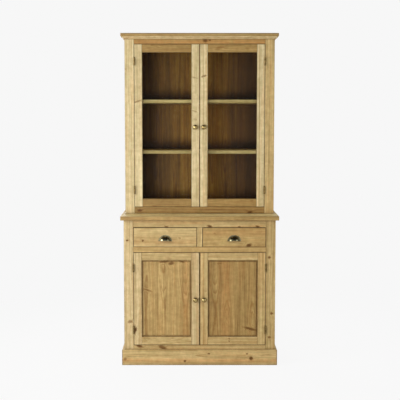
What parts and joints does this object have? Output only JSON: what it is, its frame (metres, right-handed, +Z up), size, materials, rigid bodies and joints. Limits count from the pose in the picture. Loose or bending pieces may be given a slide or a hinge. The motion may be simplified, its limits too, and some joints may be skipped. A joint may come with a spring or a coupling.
{
  "type": "china cabinet",
  "caption": "Two-part pine china cabinet: a hutch with glazed doors and shelves stands on a base with drawers, cup pulls and panelled doors, all on working hinges and runners.",
  "frame": {"origin": "on the floor, under the middle of the object's overall box", "axes": "+Z up, +X to the right as seen from the front, +Y towards the back; the doors face -Y"},
  "size_m": [0.956, 0.467, 2],
  "materials": {
    "pine": "waxed satin pine",
    "dark_pine": "darker unlit pine panel",
    "glass": "clear float glass",
    "aged_brass": "antique satin brass",
    "pewter": "dark antique pewter, polished on the high spots",
    "steel": "zinc-plated steel"
  },
  "bodies": {
    "carcass": {"base_side_left": "pine", "base_side_right": "pine", "base_stile_left": "pine", "base_stile_right": "pine", "base_top_rail": "pine", "base_middle_rail": "pine", "base_bottom_rail": "pine", "drawer_muntin": "pine", "base_floor": "pine", "base_shelf": "pine", "base_back": "pine", "drawer_runners": "pine", "worktop": "pine", "plinth": "pine", "hutch_side_left": "pine", "hutch_side_right": "pine", "hutch_stile_left": "pine", "hutch_stile_right": "pine", "hutch_frieze_rail": "pine", "hutch_bottom_rail": "pine", "hutch_floor": "pine", "hutch_back": "dark_pine", "hutch_top": "pine", "cornice": "pine", "hutch_shelves": "pine", "shelf_pegs": "steel", "hinge_frame_leaves": "aged_brass", "door_catches": "steel"},
    "hutch_door_left": {"hutch_door_left_stiles": "pine", "hutch_door_left_rails": "pine", "hutch_door_left_glass": "glass", "hutch_door_left_beads": "pine", "hutch_door_left_knob": "aged_brass", "hutch_door_left_hinge_leaves": "aged_brass"},
    "base_door_left": {"base_door_left_stiles": "pine", "base_door_left_rails": "pine", "base_door_left_panel": "pine", "base_door_left_knob": "aged_brass", "base_door_left_hinge_leaves": "aged_brass"},
    "drawer_left": {"drawer_left_front": "pine", "drawer_left_sides": "pine", "drawer_left_back": "pine", "drawer_left_bottom": "pine", "drawer_left_cup_pull": "pewter"},
    "hutch_door_right": {"hutch_door_right_stiles": "pine", "hutch_door_right_rails": "pine", "hutch_door_right_glass": "glass", "hutch_door_right_beads": "pine", "hutch_door_right_knob": "aged_brass", "hutch_door_right_hinge_leaves": "aged_brass"},
    "base_door_right": {"base_door_right_stiles": "pine", "base_door_right_rails": "pine", "base_door_right_panel": "pine", "base_door_right_knob": "aged_brass", "base_door_right_hinge_leaves": "aged_brass"},
    "drawer_right": {"drawer_right_front": "pine", "drawer_right_sides": "pine", "drawer_right_back": "pine", "drawer_right_bottom": "pine", "drawer_right_cup_pull": "pewter"}
  },
  "joints": [
    {"name": "hutch_door_left_hinge", "type": "hinge", "parent": "carcass", "child": "hutch_door_left", "pos_m": [-0.397, -0.0708, 1.441], "axis": [0, 0, -1], "range_deg": [0, 175]},
    {"name": "hutch_door_right_hinge", "type": "hinge", "parent": "carcass", "child": "hutch_door_right", "pos_m": [0.397, -0.0708, 1.441], "axis": [0, 0, 1], "range_deg": [0, 175]},
    {"name": "base_door_left_hinge", "type": "hinge", "parent": "carcass", "child": "base_door_left", "pos_m": [-0.397, -0.2108, 0.403], "axis": [0, 0, -1], "range_deg": [0, 175]},
    {"name": "base_door_right_hinge", "type": "hinge", "parent": "carcass", "child": "base_door_right", "pos_m": [0.397, -0.2108, 0.403], "axis": [0, 0, 1], "range_deg": [0, 175]},
    {"name": "drawer_left_slide", "type": "slide", "parent": "carcass", "child": "drawer_left", "axis": [0, -1, 0], "range_m": [0, 0.3]},
    {"name": "drawer_right_slide", "type": "slide", "parent": "carcass", "child": "drawer_right", "axis": [0, -1, 0], "range_m": [0, 0.3]}
  ]
}
